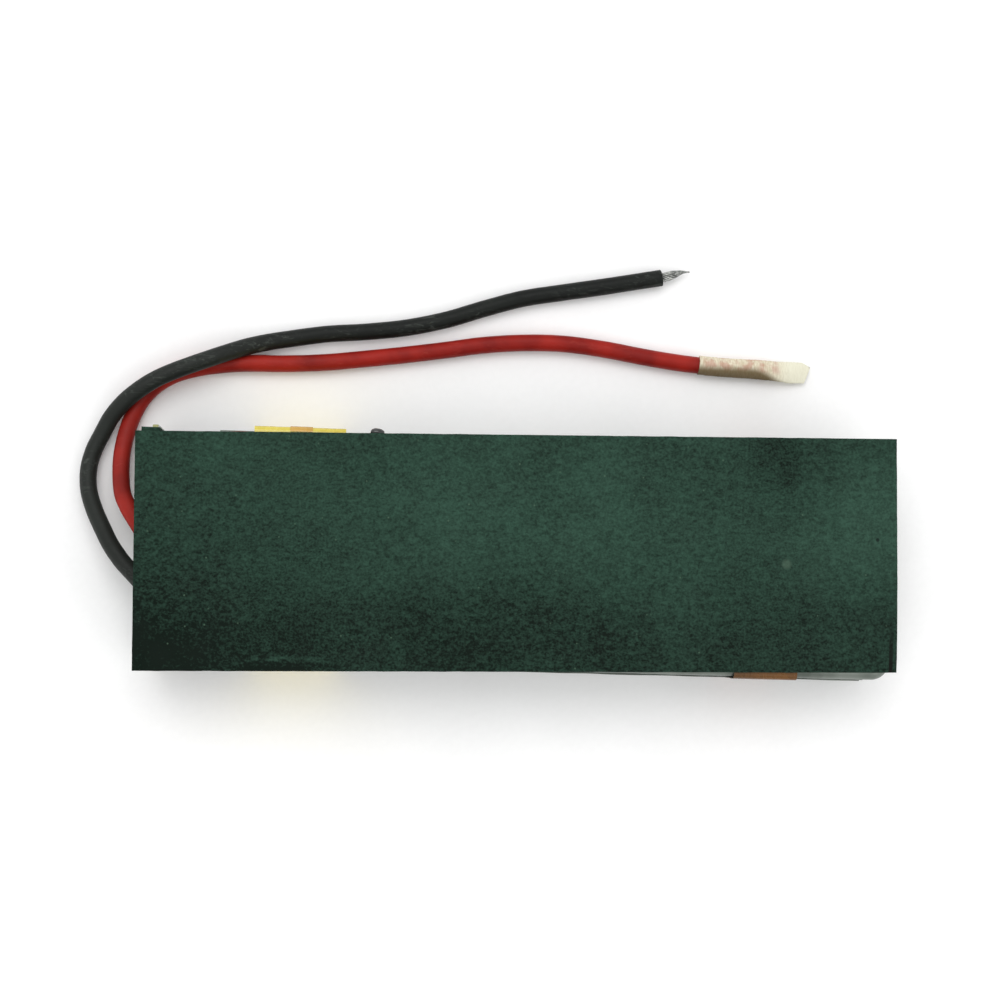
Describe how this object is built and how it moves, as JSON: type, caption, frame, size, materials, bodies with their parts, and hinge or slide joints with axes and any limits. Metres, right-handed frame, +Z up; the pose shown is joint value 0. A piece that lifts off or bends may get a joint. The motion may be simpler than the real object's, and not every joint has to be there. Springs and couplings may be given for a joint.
{
  "type": "pouch battery pack",
  "caption": "Flat two-cell lithium polymer pouch pack with green insulating paper, tape bands, a protection board and two silicone leads with loose ends.",
  "frame": {"origin": "centre of the pack on the surface it lies on, at the underside of the bottom paper", "axes": "+X from the terminal end to the plain end, +Y towards the side the leads lie on, +Z up through the thickness, out of the green top paper"},
  "size_m": [0.1429, 0.0745, 0.018],
  "materials": {
    "green_paper": "matte fibre",
    "pouch_foil": "satin laminate",
    "cathode_coat": "matte",
    "anode_coat": "matte",
    "separator_film": "matte",
    "green_tape": "satin",
    "aluminium_tab": "satin",
    "nickel_tab": "satin",
    "tab_film": "satin",
    "white_foam": "matte",
    "yellow_tape": "gloss",
    "amber_tape": "gloss",
    "black_epoxy": "gloss",
    "wire_enamel": "gloss",
    "board_green": "satin",
    "tinned_pad": "satin",
    "chip_black": "matte",
    "chip_white": "matte",
    "solder": "gloss",
    "black_silicone": "satin",
    "red_silicone": "satin",
    "masking_tape": "matte crepe"
  },
  "bodies": {
    "root": {"lower_cup": "pouch_foil", "lower_cover": "pouch_foil", "lower_cathodes": "cathode_coat", "lower_anodes": "anode_coat", "lower_separator": "separator_film", "lower_stack_tape": "green_tape", "lower_positive_tab": "aluminium_tab", "lower_negative_tab": "nickel_tab", "lower_tab_film": "tab_film", "upper_cup": "pouch_foil", "upper_cover": "pouch_foil", "upper_cathodes": "cathode_coat", "upper_anodes": "anode_coat", "upper_separator": "separator_film", "upper_stack_tape": "green_tape", "upper_positive_tab": "aluminium_tab", "upper_negative_tab": "nickel_tab", "upper_tab_film": "tab_film", "cell_foam_tape": "white_foam", "tab_insulator": "green_paper", "top_paper": "green_paper", "bottom_paper": "green_paper", "yellow_band": "yellow_tape", "amber_band": "amber_tape", "sensor_patch": "amber_tape", "sensor_bead": "black_epoxy", "sensor_wires": "wire_enamel", "board": "board_green", "board_cradle": "green_paper", "board_terminals": "nickel_tab", "lead_pads": "tinned_pad", "switching_transistors": "chip_black", "protection_chips": "chip_black", "chip_legs": "tinned_pad", "chip_resistors": "chip_black", "chip_capacitors": "chip_white", "shunt_resistor": "chip_black", "lead_strands": "solder", "lead_solder": "solder", "black_lead": "black_silicone", "red_lead": "red_silicone", "black_bare_end": "solder", "red_bare_end": "solder", "masking_tape": "masking_tape"}
  },
  "joints": []
}
